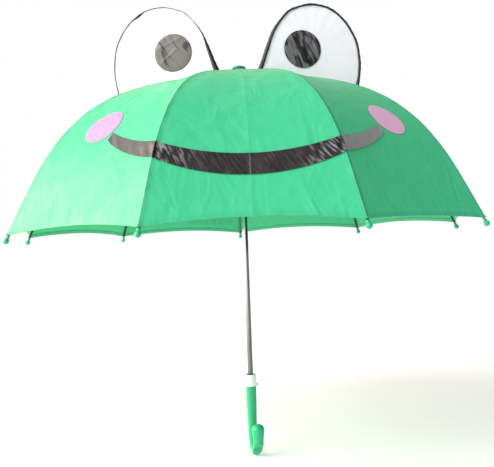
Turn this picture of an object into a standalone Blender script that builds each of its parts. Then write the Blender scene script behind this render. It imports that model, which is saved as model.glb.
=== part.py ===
"""Children's stick umbrella with a frog face, modelled open.

Metres, +Z up. The origin is on the shaft's axis at the middle of the grip, and the face looks along -Y.
Everything that repeats around the shaft is made once in a sector frame: the shaft is its Z axis, the rib
lies over its +X axis, and the next rib is one RIB_STEP further round, anticlockwise seen from above.
"""

import math

import bmesh
import bpy
import numpy as np
from mathutils import Matrix, Vector

# Canopy and ribs
RIB_COUNT = 9
RIB_STEP = 2 * math.pi / RIB_COUNT
FIRST_RIB = RIB_STEP / 2  # azimuth of rib 1, measured from -Y towards +X
RIM_Z = 0.285  # height of the circle of rib tips
TIP_RADIUS = 0.365
HINGE_RADIUS = 0.008  # circle of the rib hinges on the crown
SLOPE_AT_CROWN = math.radians(13.6)
SLOPE_AT_TIP = math.radians(63.3)
BEND_FROM, BEND_TO = 0.218, 0.89  # the stretch of the rib, as shares of its length, that takes the bend
RIB_METAL_END = 0.994

# Fabric
CLOTH = 0.0005
CLOTH_LIFT = 0.0019  # underside of the cloth over the rib's middle line
CROWN_LIFT, CROWN_LIFT_REACH = 0.0020, 0.015
PANEL_FROM, PANEL_TO = 0.003, 0.985  # along the rib
ROWS = 11  # stations along a gore, and along the rib under it
PANEL_SAG = 0.02  # of the chord between two ribs
RIM_SCALLOP = 0.023
SEAM_GAP = 0.0002
PATCH_GAP = 0.0004

# Rib and stretcher sections
RIB_WIDTH, RIB_DEPTH, RIB_WALL = 0.0024, 0.0020, 0.0004
STRETCHER_WIDTH, STRETCHER_DEPTH, STRETCHER_WALL = 0.0028, 0.0022, 0.0005
BLADE = 0.0012
EYELET, EYELET_HOLE = 0.0017, 0.00085
CHANNEL_FROM = 0.007  # the rib's channel starts this far from its hinge

# Folding
PIVOT_AT = 0.40  # stretcher pivot, as a share of the rib's length
PIVOT_DROP = 0.0042  # below the rib's middle line
PIN_RADIUS = 0.0006
STRETCHER_LENGTH = 0.190
RUNNER_PIVOT_RADIUS = 0.0095
CLOSED_TIP_RADIUS = 0.0125
BALL_RADIUS = 0.0038

# Shaft, crown, cap and runner
SHAFT_RADIUS, SHAFT_WALL = 0.0041, 0.0005
BORE = 0.0044
WIRE = 0.0005
GROOVE = 0.0016
CROWN_RADIUS, CROWN_CORE = 0.0125, 0.0060
CAP_RADIUS, CAP_BASE, CAP_TOP = 0.0110, 0.0042, 0.0092  # heights over the rib hinges
FLANGE_RADIUS, SLEEVE_RADIUS, SLEEVE_LENGTH = 0.0115, 0.0068, 0.030
KEYWAY_WIDTH, KEYWAY_RADIUS = 0.0028, 0.0060

# Spring catches
CATCH_WIDTH = 0.0018
CATCH_LENGTH = 0.025
CATCH_OUT = 0.0056

# Handle
CUP_TOP, CUP_BASE = 0.0632, 0.0447
CUP_RADIUS = 0.0090
HANDLE_TOP = 0.0444
STEM_RADIUS, HOOK_WIRE_RADIUS, LIMB_RADIUS, BULB_RADIUS = 0.0082, 0.0066, 0.0080, 0.0097
HOOK_RADIUS = 0.020
HOOK_CENTRE_Z = -0.0320
HOOK_AZIMUTH = math.radians(10)
SHAFT_FOOT = -0.0200

# Face, as places in the sector plane of the ribs that carry the eyes and on the gores
EYE_RIBS = {"right": 3, "left": 7}
# the eye's edge from its foot near the crown over the top to its outer foot, as (radius, height over the rim)
EYE_EDGE = (
    (0.031, 0.258), (0.045, 0.294), (0.058, 0.325), (0.080, 0.353), (0.100, 0.363), (0.122, 0.3675),
    (0.146, 0.364), (0.166, 0.3535), (0.184, 0.334), (0.197, 0.309), (0.202, 0.280), (0.2010, 0.255),
    (0.1975, 0.235),
)
EYE_DEPTH = 0.020
EYE_BORDER = 0.003
PUPIL_CENTRE, PUPIL_RADIUS = (0.1035, RIM_Z + 0.2925), 0.0305
MOUTH_END = 0.46  # how far across the side gores the mouth runs
CHEEK_PLACES, CHEEK_RADIUS = {"right": (0.615, 0.645), "left": (0.400, 0.639)}, 0.029

COLOURS = {
    "cloth": ((0.10, 0.72, 0.36), 0.55, 0.0),
    "white_cloth": ((0.92, 0.92, 0.95), 0.7, 0.0),
    "black_cloth": ((0.02, 0.02, 0.02), 0.45, 0.0),
    "pink_cloth": ((0.90, 0.55, 0.75), 0.6, 0.0),
    "steel": ((0.62, 0.62, 0.64), 0.25, 1.0),
    "green_plastic": ((0.03, 0.60, 0.28), 0.25, 0.0),
    "white_plastic": ((0.88, 0.92, 0.92), 0.35, 0.0),
    "black_plastic": ((0.03, 0.03, 0.03), 0.4, 0.0),
}


# ---- the rib's curve and the folding geometry ----


def slope(share):
    """Angle of the rib below the horizontal."""
    t = np.clip((share - BEND_FROM) / (BEND_TO - BEND_FROM), 0, 1)
    return SLOPE_AT_CROWN + (SLOPE_AT_TIP - SLOPE_AT_CROWN) * t * t * (3 - 2 * t)


def summed(values):
    steps = (values[1:] + values[:-1]) / 2 / (len(values) - 1)
    return np.concatenate([[0], np.cumsum(steps)])


SHARES = np.linspace(0, 1, 401)
OUT, DOWN = summed(np.cos(slope(SHARES))), summed(np.sin(slope(SHARES)))
RIB_LENGTH = (TIP_RADIUS - HINGE_RADIUS) / OUT[-1]
CROWN_Z = RIM_Z + RIB_LENGTH * DOWN[-1]


def rib_point(share, lift=0.0):
    """(radius, height) of a point on the rib's middle line, or that far over it."""
    angle = float(slope(share))
    radius = HINGE_RADIUS + RIB_LENGTH * float(np.interp(share, SHARES, OUT))
    height = CROWN_Z - RIB_LENGTH * float(np.interp(share, SHARES, DOWN))
    return radius + lift * math.sin(angle), height + lift * math.cos(angle)


def polar(origin, point):
    """(distance, angle below the horizontal) from one (radius, height) point to another."""
    across, up = point[0] - origin[0], point[1] - origin[1]
    return math.hypot(across, up), math.atan2(-up, across)


def turned_down(origin, point, angle):
    distance, at = polar(origin, point)
    return origin[0] + distance * math.cos(at + angle), origin[1] - distance * math.sin(at + angle)


HINGE = (HINGE_RADIUS, CROWN_Z)
PIVOT = rib_point(PIVOT_AT, -PIVOT_DROP)
TIP_REACH, TIP_ANGLE = polar(HINGE, rib_point(1))
RIB_FOLD = math.acos((CLOSED_TIP_RADIUS - HINGE_RADIUS) / TIP_REACH) - TIP_ANGLE
CLOSED_PIVOT = turned_down(HINGE, PIVOT, RIB_FOLD)


def stretcher_rise(pivot):
    """Angle of a stretcher over the horizontal when its outer end is at this pivot."""
    return math.acos((pivot[0] - RUNNER_PIVOT_RADIUS) / STRETCHER_LENGTH)


RISE_OPEN, RISE_CLOSED = stretcher_rise(PIVOT), stretcher_rise(CLOSED_PIVOT)
RUNNER_Z = PIVOT[1] - STRETCHER_LENGTH * math.sin(RISE_OPEN)
RUNNER_TRAVEL = RUNNER_Z - CLOSED_PIVOT[1] + STRETCHER_LENGTH * math.sin(RISE_CLOSED)
STRETCHER_FOLD = RIB_FOLD + RISE_CLOSED - RISE_OPEN


# ---- scene helpers ----


def clear_scene():
    for obj in list(bpy.data.objects):
        bpy.data.objects.remove(obj)


def material(name):
    found = bpy.data.materials.get(name)
    if found:
        return found
    colour, roughness, metallic = COLOURS[name]
    made = bpy.data.materials.new(name)
    made.use_nodes = True
    shader = made.node_tree.nodes["Principled BSDF"]
    shader.inputs["Base Color"].default_value = (*colour, 1)
    shader.inputs["Roughness"].default_value = roughness
    shader.inputs["Metallic"].default_value = metallic
    return made


def add_object(name, mesh, finish, parent=None, smooth=True):
    if not mesh.materials:
        mesh.materials.append(material(finish))
        if smooth:
            mesh.shade_smooth()
            mesh.set_sharp_from_angle(angle=math.radians(35))
    obj = bpy.data.objects.new(name, mesh)
    obj.parent = parent
    bpy.context.collection.objects.link(obj)
    return obj


def add_empty(name, azimuth, place):
    """A parent empty at a sector point, turned so that its +X is the rib's outward direction."""
    empty = bpy.data.objects.new(name, None)
    empty.empty_display_size = 0.01
    empty.matrix_world = Matrix.Rotation(azimuth - math.pi / 2, 4, "Z") @ Matrix.Translation(place)
    bpy.context.collection.objects.link(empty)
    return empty


def mesh_from(bm, name, shift=(0, 0, 0)):
    """The finished mesh, with its faces out and its coordinates taken from the given origin."""
    bmesh.ops.remove_doubles(bm, verts=bm.verts, dist=1e-7)
    bmesh.ops.recalc_face_normals(bm, faces=bm.faces)
    bmesh.ops.translate(bm, verts=bm.verts, vec=-Vector(shift))
    mesh = bpy.data.meshes.new(name)
    bm.to_mesh(mesh)
    bm.free()
    return mesh


def turned(profile, steps, name, shift=(0, 0, 0)):
    """A solid of revolution about Z from a closed outline of (radius, height) points."""
    bm = bmesh.new()
    ring = [bm.verts.new((radius, 0, height)) for radius, height in profile]
    edges = [bm.edges.new(pair) for pair in zip(ring, ring[1:] + ring[:1]) if not on_axis(pair)]
    bmesh.ops.spin(
        bm, geom=ring + edges, cent=(0, 0, 0), axis=(0, 0, 1), angle=2 * math.pi, steps=steps
    )
    return mesh_from(bm, name, shift)


def on_axis(pair):
    return all(vert.co.x == 0 for vert in pair)


def plate(outline, low, high, name, holes=(), shift=(0, 0, 0)):
    """A flat plate in the sector plane: outline and holes in (radius, height), between two Y values."""
    bm = bmesh.new()
    edges = []
    for loop in (outline, *holes):
        verts = [bm.verts.new((x, low, z)) for x, z in loop]
        edges += [bm.edges.new(pair) for pair in zip(verts, verts[1:] + verts[:1])]
    faces = bmesh.ops.triangle_fill(bm, edges=edges, use_beauty=True, normal=(0, -1, 0))["geom"]
    faces = [f for f in faces if isinstance(f, bmesh.types.BMFace)]
    moved = bmesh.ops.extrude_face_region(bm, geom=faces, use_keep_orig=True)["geom"]
    verts = [v for v in moved if isinstance(v, bmesh.types.BMVert)]
    bmesh.ops.translate(bm, verts=verts, vec=(0, high - low, 0))
    return mesh_from(bm, name, shift)


def rings_to_mesh(rings, name, shift=(0, 0, 0)):
    """A solid through a row of closed rings of points, capped at both ends."""
    bm = bmesh.new()
    loops = [[bm.verts.new(point) for point in ring] for ring in rings]
    for first, second in zip(loops, loops[1:]):
        count = len(first)
        for i in range(count):
            j = (i + 1) % count
            bm.faces.new((first[i], first[j], second[j], second[i]))
    bm.faces.new(loops[0])
    bm.faces.new(loops[-1])
    return mesh_from(bm, name, shift)


def sheet_solid(lower, upper, name, shift=(0, 0, 0)):
    """A thin solid between two equal grids of points."""
    bm = bmesh.new()
    layers = [[[bm.verts.new(p) for p in row] for row in grid] for grid in (lower, upper)]
    rows, columns = len(lower), len(lower[0])
    for layer in layers:
        for i in range(rows - 1):
            for j in range(columns - 1):
                bm.faces.new((layer[i][j], layer[i][j + 1], layer[i + 1][j + 1], layer[i + 1][j]))
    edge = [(0, j) for j in range(columns)] + [(i, columns - 1) for i in range(1, rows)]
    edge += [(rows - 1, j) for j in range(columns - 2, -1, -1)] + [(i, 0) for i in range(rows - 2, 0, -1)]
    low, up = layers
    for (i, j), (k, m) in zip(edge, edge[1:] + edge[:1]):
        bm.faces.new((low[i][j], low[k][m], up[k][m], up[i][j]))
    return mesh_from(bm, name, shift)


def circle(centre, radius, count, start=0.0, end=2 * math.pi):
    """Points round a circle, or along an arc with both ends when the turn isn't full."""
    full = abs(end - start) > 2 * math.pi - 1e-6
    steps = count if full else count - 1
    angles = [start + (end - start) * i / steps for i in range(count)]
    return [(centre[0] + radius * math.cos(a), centre[1] + radius * math.sin(a)) for a in angles]


def box(low, high, name):
    bm = bmesh.new()
    bmesh.ops.create_cube(bm, size=1)
    size = [b - a for a, b in zip(low, high)]
    bmesh.ops.scale(bm, verts=bm.verts, vec=size)
    bmesh.ops.translate(bm, verts=bm.verts, vec=[(a + b) / 2 for a, b in zip(low, high)])
    return mesh_from(bm, name)


def combined(base, others, operation, name):
    """One mesh from a base mesh and others joined to it or cut out of it."""
    obj = bpy.data.objects.new("work", base)
    bpy.context.collection.objects.link(obj)
    helpers = []
    for other in others:
        helper = bpy.data.objects.new("helper", other)
        helper.hide_render, helper.display_type = True, "WIRE"
        bpy.context.collection.objects.link(helper)
        boolean = obj.modifiers.new("combine", "BOOLEAN")
        boolean.operation, boolean.solver, boolean.object = operation, "EXACT", helper
        helpers.append(helper)
    bpy.context.view_layer.update()
    graph = bpy.context.evaluated_depsgraph_get()
    mesh = bpy.data.meshes.new_from_object(obj.evaluated_get(graph))
    mesh.name = name
    for done in (obj, *helpers):
        bpy.data.objects.remove(done)
    return mesh


# ---- the shaft and what is fixed to it ----


def catch_tops():
    """Heights of the ledges of the two spring catches: under the open runner and under the closed one."""
    open_foot = RUNNER_Z - SLEEVE_LENGTH
    return {"top_catch": open_foot - 0.0004, "bottom_catch": open_foot - RUNNER_TRAVEL - 0.0004}


def add_shaft():
    inner = SHAFT_RADIUS - SHAFT_WALL
    top = CROWN_Z + 0.0070
    wall = [(inner, top), (inner, SHAFT_FOOT), (SHAFT_RADIUS, SHAFT_FOOT), (SHAFT_RADIUS, top)]
    tube = turned(wall, 24, "shaft_tube")
    slots = [
        box((-0.0013, 0.0010, ledge - 0.0140), (0.0013, 0.0060, ledge + 0.0008), "slot")
        for ledge in catch_tops().values()
    ]
    add_object("shaft_tube", combined(tube, slots, "DIFFERENCE", "shaft_tube"), "steel")


def add_catch(name, ledge):
    """A bent strip inside the shaft whose tooth stands out through the slot on the +Y side."""
    foot = ledge - CATCH_LENGTH
    outline = [
        (0.0012, foot),
        (0.0022, foot),
        (0.0034, ledge - 0.0110),
        (CATCH_OUT, ledge - 0.0020),
        (CATCH_OUT, ledge),
        (0.0026, ledge),
        (0.0022, ledge - 0.0100),
    ]
    pivot = (0.0017, foot + 0.0010)
    strip = plate(outline, -CATCH_WIDTH / 2, CATCH_WIDTH / 2, name, shift=(pivot[0], 0, pivot[1]))
    obj = add_object(name, strip, "steel", smooth=False)
    obj.location = (0, pivot[0], pivot[1])
    obj.rotation_euler.z = math.pi / 2


def slot_cutters(inner, outer, width, low, high):
    """One radial slot for each rib, as plates turned round the shaft."""
    cutters = []
    for k in range(RIB_COUNT):
        cutter = box((inner, -width / 2, low), (outer, width / 2, high), "slot")
        cutter.transform(Matrix.Rotation(rib_azimuth(k + 1) - math.pi / 2, 4, "Z"))
        cutters.append(cutter)
    return cutters


def wire_groove(radius, floor, top):
    half = GROOVE / 2
    outline = [(radius - half, top), (radius - half, floor), (radius + half, floor), (radius + half, top)]
    return turned(outline, 36, "groove")


def rib_azimuth(number):
    return FIRST_RIB + (number - 1) * RIB_STEP


def add_crown():
    low, high, foot = CROWN_Z - 0.0030, CROWN_Z + 0.0019, CROWN_Z - 0.0100
    outline = [
        (BORE, high), (BORE, foot), (CROWN_CORE, foot), (CROWN_CORE, low),
        (CROWN_RADIUS, low), (CROWN_RADIUS, high - 0.0010), (CROWN_RADIUS - 0.0020, high),
    ]
    disc = turned(outline, 36, "crown_notch")
    cuts = slot_cutters(CROWN_CORE, 0.02, 0.0019, low - 0.001, high + 0.001)
    cuts.append(wire_groove(HINGE_RADIUS, CROWN_Z - GROOVE / 2, high + 0.001))
    add_object("crown_notch", combined(disc, cuts, "DIFFERENCE", "crown_notch"), "black_plastic")
    add_object("crown_wire", ring_wire(HINGE_RADIUS, CROWN_Z), "steel")


def ring_wire(radius, height, shift=(0, 0, 0)):
    return turned(circle((radius, height), WIRE, 6), 27, "ring_wire", shift)


def add_cap():
    """A low dome pressed on the shaft's top end, flat in the middle, with a rolled lower edge."""
    base, top = CROWN_Z + CAP_BASE, CROWN_Z + CAP_TOP
    outline = [
        (BORE, base), (CAP_RADIUS - 0.0006, base), (CAP_RADIUS, base + 0.0006),
        (CAP_RADIUS, base + 0.0014), (CAP_RADIUS - 0.0010, base + 0.0030),
        (CAP_RADIUS - 0.0034, base + 0.0044), (0.0060, top), (0, top),
        (0, top - 0.0015), (BORE, top - 0.0015),
    ]
    add_object("top_cap", turned(outline, 32, "top_cap"), "green_plastic")


def add_cup():
    """The white cup that takes the rib tips of the closed umbrella, with a lug at its foot."""
    floor = CUP_TOP - 0.0120
    outline = [
        (BORE, CUP_BASE), (CUP_RADIUS - 0.0006, CUP_BASE), (CUP_RADIUS - 0.0003, CUP_BASE + 0.0010),
        (CUP_RADIUS, CUP_TOP - 0.0010), (CUP_RADIUS - 0.0003, CUP_TOP), (CUP_RADIUS - 0.0012, CUP_TOP),
        (CUP_RADIUS - 0.0016, floor), (BORE, floor),
    ]
    cup = turned(outline, 28, "tip_cup")
    lug = box((0.0070, -0.0020, CUP_BASE), (0.0124, 0.0020, CUP_BASE + 0.0036), "lug")
    add_object("tip_cup", combined(cup, [lug], "UNION", "tip_cup"), "white_plastic")


def hook_path():
    """(distance from the shaft's axis, height, direction, thickness) down the stem and round the hook."""
    stations = [(0, HANDLE_TOP, 0.0, STEM_RADIUS - 0.0006), (0, HANDLE_TOP - 0.0008, 0.0, STEM_RADIUS)]
    for height, radius in ((0.020, 0.0078), (-0.005, 0.0072), (-0.020, 0.0069)):
        stations.append((0, height, 0.0, radius))
    for i in range(9):
        angle = math.pi * i / 8
        across = HOOK_RADIUS * (1 - math.cos(angle))
        height = HOOK_CENTRE_Z - HOOK_RADIUS * math.sin(angle)
        swell = math.cos(angle) ** 2 if angle > math.pi / 2 else 0.0
        radius = HOOK_WIRE_RADIUS + (LIMB_RADIUS - HOOK_WIRE_RADIUS) * swell
        stations.append((across, height, angle, radius))
    limb = ((0.006, 0.0085), (0.012, 0.0093), (0.0175, BULB_RADIUS), (0.0222, 0.0087), (0.0252, 0.0058))
    for rise, radius in limb:
        stations.append((2 * HOOK_RADIUS, HOOK_CENTRE_Z + rise, math.pi, radius))
    stations.append((2 * HOOK_RADIUS, HOOK_CENTRE_Z + 0.0264, math.pi, 0.0025))
    return stations


def add_handle():
    rings = []
    for across, height, angle, radius in hook_path():
        centre = Vector((across, 0, height))
        side = Vector((math.cos(angle), 0, -math.sin(angle)))
        ring = [centre + side * x + Vector((0, y, 0)) for x, y in circle((0, 0), radius, 18)]
        rings.append(ring)
    hook = rings_to_mesh(rings, "handle")
    socket = turned(
        [(0, HANDLE_TOP + 0.001), (0, SHAFT_FOOT - 0.0005), (BORE, SHAFT_FOOT - 0.0005),
         (BORE, HANDLE_TOP + 0.001)],
        24, "socket",
    )
    obj = add_object("handle", combined(hook, [socket], "DIFFERENCE", "handle"), "green_plastic")
    obj.rotation_euler.z = HOOK_AZIMUTH - math.pi / 2


def add_runner():
    """The sleeve, its slotted flange, the wire groove, and a keyway that clears the catches."""
    low, high, foot = RUNNER_Z - 0.0032, RUNNER_Z + 0.0026, RUNNER_Z - SLEEVE_LENGTH
    outline = [
        (BORE, high + 0.0040), (BORE, foot), (SLEEVE_RADIUS, foot),
        (SLEEVE_RADIUS, low), (FLANGE_RADIUS, low), (FLANGE_RADIUS, high), (SLEEVE_RADIUS, high),
        (SLEEVE_RADIUS - 0.0004, high + 0.0040),
    ]
    sleeve = turned(outline, 36, "runner")
    cuts = slot_cutters(SLEEVE_RADIUS + 0.0002, 0.02, 0.0019, low - 0.001, high + 0.001)
    cuts.append(wire_groove(RUNNER_PIVOT_RADIUS, RUNNER_Z - GROOVE / 2, high + 0.001))
    half = KEYWAY_WIDTH / 2
    cuts.append(box((-half, 0.0010, foot - 0.001), (half, KEYWAY_RADIUS, high + 0.006), "keyway"))
    empty = bpy.data.objects.new("runner_origin", None)
    empty.location = (0, 0, RUNNER_Z)
    bpy.context.collection.objects.link(empty)
    shift = (0, 0, RUNNER_Z)
    body = combined(sleeve, cuts, "DIFFERENCE", "runner")
    body.transform(Matrix.Translation((0, 0, -RUNNER_Z)))
    add_object("runner", body, "black_plastic", empty)
    add_object("runner_wire", ring_wire(RUNNER_PIVOT_RADIUS, RUNNER_Z, shift), "steel", empty)


# ---- ribs, tips and stretchers ----


def channel(points, width, depth, wall, name, shift):
    """A U-section, open underneath, through (radius, height, slope) points."""
    w, d, inner = width / 2, depth / 2, width / 2 - wall
    section = [(-w, -d), (-w, d), (w, d), (w, -d)]
    section += [(inner, -d), (inner, d - wall), (-inner, d - wall), (-inner, -d)]
    rings = []
    for radius, height, angle in points:
        up_x, up_z = math.sin(angle), math.cos(angle)
        rings.append([(radius + n * up_x, y, height + n * up_z) for y, n in section])
    return rings_to_mesh(rings, name, shift)


def rib_mesh():
    """The rib: hinge blade with its eyelet, U-section, and the ear that takes the stretcher's pin."""
    shift = (HINGE_RADIUS, 0, CROWN_Z)
    first = CHANNEL_FROM / RIB_LENGTH
    shares = [first, *[panel_share(i, PANEL_TO) for i in range(1, ROWS - 1)], RIB_METAL_END]
    line = [(*rib_point(s), float(slope(s))) for s in shares]
    bar = channel(line, RIB_WIDTH, RIB_DEPTH, RIB_WALL, "rib", shift)

    reach = 0.016 / RIB_LENGTH
    up, down = rib_point(reach, RIB_DEPTH / 2 - RIB_WALL / 2), rib_point(reach, -0.0008)
    lean = math.pi / 2 - SLOPE_AT_CROWN
    eyelet = circle(HINGE, EYELET, 9, lean, lean + math.pi)
    blade = plate(
        [up, *eyelet, down], -BLADE / 2, BLADE / 2, "blade", [circle(HINGE, EYELET_HOLE, 8)], shift
    )

    at = float(slope(PIVOT_AT))
    half = 0.0022 / RIB_LENGTH
    inside = RIB_DEPTH / 2 - RIB_WALL / 2
    lug_end = circle(PIVOT, EYELET, 9, -at - math.pi, -at)
    corners = [rib_point(PIVOT_AT + half, inside), rib_point(PIVOT_AT - half, inside)]
    ear = plate(
        [*lug_end, *corners], -BLADE / 2, BLADE / 2, "ear", [circle(PIVOT, PIN_RADIUS + 0.00035, 8)], shift
    )
    return combined(bar, [blade, ear], "UNION", "rib")


def tip_mesh():
    """A socket over the rib's end, a neck and a ball, turned about the rib's last direction."""
    start = 0.9885 * RIB_LENGTH - RIB_LENGTH
    depth = start + 0.0030
    outline = [
        (0, depth), (0.0019, depth), (0.0019, start), (0.0025, start), (0.0026, start + 0.0014),
        (0.0020, start + 0.0025),
    ]
    ball = circle((0, 0.0008), BALL_RADIUS, 6, math.radians(-50), math.radians(90))
    mesh = turned(outline + ball[:-1] + [(0, ball[-1][1])], 11, "rib_tip")
    tip = rib_point(1)
    mesh.transform(
        Matrix.Translation((tip[0] - HINGE_RADIUS, 0, tip[1] - CROWN_Z))
        @ Matrix.Rotation(math.pi / 2 + SLOPE_AT_TIP, 4, "Y")
        @ Matrix.Rotation(0.13, 4, "Z")
    )
    return mesh


def stretcher_mesh():
    """The stretcher: fork and pin at the rib, U-section, and an open hook over the runner's wire."""
    shift = (PIVOT[0], 0, PIVOT[1])
    along = Vector((-math.cos(RISE_OPEN), -math.sin(RISE_OPEN)))
    up = Vector((-along.y, along.x)) * -1

    def place(distance, height=0.0):
        point = Vector(PIVOT) + along * distance + up * height
        return point.x, point.y

    half, wall = STRETCHER_WIDTH / 2, STRETCHER_WALL
    web_end = 0.0060
    line = [(*place(d), -RISE_OPEN) for d in (STRETCHER_LENGTH - 0.009, web_end)]
    bar = channel(line, STRETCHER_WIDTH, STRETCHER_DEPTH, wall, "stretcher", shift)

    # two cheeks past the end of the web, and the pin between them
    turn = math.atan2(up.y, up.x)
    nose = circle(PIVOT, 0.0015, 7, turn - math.pi, turn)
    outline = [place(web_end + 0.0020, -0.0010), *nose, place(web_end + 0.0020, 0.0010)]
    sides = ((-half, -half + wall), (half - wall, half))
    cheeks = [plate(outline, a, b, "cheek", (), shift) for a, b in sides]
    pin = plate(circle(PIVOT, PIN_RADIUS, 8), -half + wall / 2, half - wall / 2, "pin", (), shift)

    hook = hook_outline(place(STRETCHER_LENGTH))
    outlines = (hook, neck_outline(place))
    plates = [plate(outline, -BLADE / 2, BLADE / 2, "hook", (), shift) for outline in outlines]
    return combined(bar, [*cheeks, pin, *plates], "UNION", "stretcher")


def hook_outline(wire):
    """A half ring under the runner's wire, open upwards so that it can leave the wire."""
    middle = -math.pi / 2 - (RISE_CLOSED - RISE_OPEN) / 2
    outer = circle(wire, 0.0016, 9, middle - math.pi / 2, middle + math.pi / 2)
    inner = circle(wire, 0.0009, 7, middle + math.pi / 2, middle - math.pi / 2)
    return [*outer, *inner]


def neck_outline(place):
    """The flat neck from the hook's outer side into the channel, set low to clear the wire's way out."""
    corners = (
        (0.00075, -0.00085), (0.0032, 0.00025), (0.0070, 0.00085),
        (0.0160, 0.00085), (0.0160, -0.00060), (0.0040, -0.00100), (-0.0001, -0.00125),
    )
    return [place(STRETCHER_LENGTH - back, height) for back, height in corners]


# ---- cloth ----


def cloth_point(across, share, lift=0.0):
    """A point of the gore from rib k (across 0) to rib k + 1 (across 1), in the sector frame of rib k."""
    angle = float(slope(share))
    radius, height = rib_point(share, CLOTH_LIFT + lift)
    height += CROWN_LIFT * math.exp(-(radius - HINGE_RADIUS) / CROWN_LIFT_REACH)
    near = Vector((radius, SEAM_GAP, height))
    far = Matrix.Rotation(RIB_STEP, 3, "Z") @ Vector((radius, -SEAM_GAP, height))
    middle = RIB_STEP / 2
    flat = math.sin(angle)
    outward = Vector((math.cos(middle) * flat, math.sin(middle) * flat, math.cos(angle)))
    sag = PANEL_SAG * (far - near).length * 4 * across * (1 - across)
    return near.lerp(far, across) - outward * sag


def hem_share(across):
    """Where the hem crosses the rib's run: it curves up between two tips."""
    return PANEL_TO - RIM_SCALLOP * (1 - (2 * across - 1) ** 2)


def panel_share(row, hem):
    """Station of a row of the gore, as a share of the rib, where the hem lies at the given share."""
    return PANEL_FROM + (hem - PANEL_FROM) * row / (ROWS - 1)


def patch_mesh(name, places, lift, thickness, shift):
    """A thin piece of cloth over a grid of (across, share) places."""
    grids = [
        [[cloth_point(a, s, lift + extra) for a, s in row] for row in places]
        for extra in (0, thickness)
    ]
    return sheet_solid(*grids, name, shift)


def gore_mesh(shift):
    places = []
    for i in range(ROWS):
        row = []
        for j in range(5):
            row.append((j / 4, panel_share(i, hem_share(j / 4))))
        places.append(row)
    return patch_mesh("canopy_panel", places, 0, CLOTH, shift)


def mouth_band(place):
    """(upper, lower) edge of the mouth over the front gore, as shares of the rib, at -1 to 1 across it."""
    rise = place * place
    return 0.790 - 0.042 * rise, 0.848 - 0.052 * rise


def side_mouth_band(place):
    """The same over a side gore, from 0 at its front seam to 1 at the mouth's corner."""
    return 0.746 - 0.030 * place - 0.041 * place**2, 0.794 - 0.030 * place - 0.056 * place**2


def mouth_places(side):
    places = []
    for i in range(3):
        row = []
        for j in range(9):
            t = j / 8
            if side == "front":
                across, (top, foot) = 0.004 + 0.992 * t, mouth_band(2 * t - 1)
            else:
                across, (top, foot) = 0.004 + (MOUTH_END - 0.004) * t, side_mouth_band(t)
            if side == "left":
                across = 1 - across
            row.append((across, top + (foot - top) * i / 2))
        places.append(row)
    return places


def cheek_places(side):
    """Rings of a disc, opened out into a grid whose outermost row is the rim."""
    across, along = CHEEK_PLACES[side]
    chord = 2 * rib_point(along)[0] * math.sin(RIB_STEP / 2)
    size = 6
    places = []
    for i in range(size + 1):
        row = []
        for j in range(size + 1):
            x, y = 2 * i / size - 1, 2 * j / size - 1
            round_x, round_y = x * math.sqrt(1 - y * y / 2), y * math.sqrt(1 - x * x / 2)
            row.append((across + CHEEK_RADIUS * round_x / chord, along + CHEEK_RADIUS * round_y / RIB_LENGTH))
        places.append(row)
    return places


def strap_places():
    """The closing strap, lying along the hem on the outside of a back gore."""
    places = []
    for i in range(3):
        row = []
        for j in range(9):
            across = 0.05 + 0.62 * j / 8
            row.append((across, hem_share(across) - 0.075 + 0.045 * i / 2))
        places.append(row)
    return places


def smooth_through(points, steps):
    """A smooth curve through points, with that many pieces for each span."""
    line = [Vector(p) for p in points]
    line = [line[0] * 2 - line[1], *line, line[-1] * 2 - line[-2]]
    curve = []
    for a, b, c, d in zip(line, line[1:], line[2:], line[3:]):
        for i in range(steps):
            t = i / steps
            bend = (2 * a - 5 * b + 4 * c - d) * t**2 + (3 * b - a - 3 * c + d) * t**3
            curve.append((2 * b + (c - a) * t + bend) / 2)
    return [*curve, line[-2]]


def eye_outline(inset):
    """(edge from its outer to its inner foot, foot line along the canopy), moved in from the eye's edge."""
    curve = smooth_through(EYE_EDGE, 2)
    edge = []
    for before, here, after in zip([curve[0], *curve], curve, [*curve[1:], curve[-1]]):
        ahead = (after - before).normalized()
        edge.append((here.x + ahead.y * inset, RIM_Z + here.y - ahead.x * inset))
    inner, outer = edge[0][0], edge[-1][0]
    foot = []
    for i in range(7):
        x = inner + (outer - inner) * i / 6
        share = float(np.interp((x - HINGE_RADIUS) / RIB_LENGTH, OUT, SHARES))
        raised = CROWN_LIFT * math.exp(-(x - HINGE_RADIUS) / CROWN_LIFT_REACH)
        foot.append((x, rib_point(share, CLOTH_LIFT + CLOTH + 0.0010)[1] + raised))
    return edge[::-1], foot


def add_eye(side, parent):
    """Two cloth faces, the strip between them and the pupil; the front is towards -Y."""
    front = -1 if side == "right" else 1
    shift = (HINGE_RADIUS, 0, CROWN_Z)
    half = EYE_DEPTH / 2

    def slab(outline, near, far, label):
        low, high = sorted((front * near, front * far))
        return plate(outline, low, high, f"eye_{side}_{label}", (), shift)

    arc, base = eye_outline(EYE_BORDER)
    flat = [*arc, *base]
    add_object(f"eye_{side}_face", slab(flat, half - 0.0020, half - 0.0006, "face"), "white_cloth", parent)
    add_object(f"eye_{side}_back", slab(flat, -half + 0.0020, -half + 0.0006, "back"), "white_cloth", parent)
    outer_arc, outer_base = eye_outline(0)
    inner_arc, inner_base = eye_outline(EYE_BORDER - 0.0004)
    strip = [outer_base[-1], *outer_arc, outer_base[0], inner_base[0], *inner_arc[::-1], inner_base[-1]]
    add_object(f"eye_{side}_band", slab(strip, half, -half, "band"), "black_cloth", parent)
    disc = circle(PUPIL_CENTRE, PUPIL_RADIUS, 28)
    add_object(f"eye_{side}_pupil", slab(disc, half - 0.0003, half + 0.0004, "pupil"), "black_cloth", parent)


# ---- assembly ----


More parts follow.
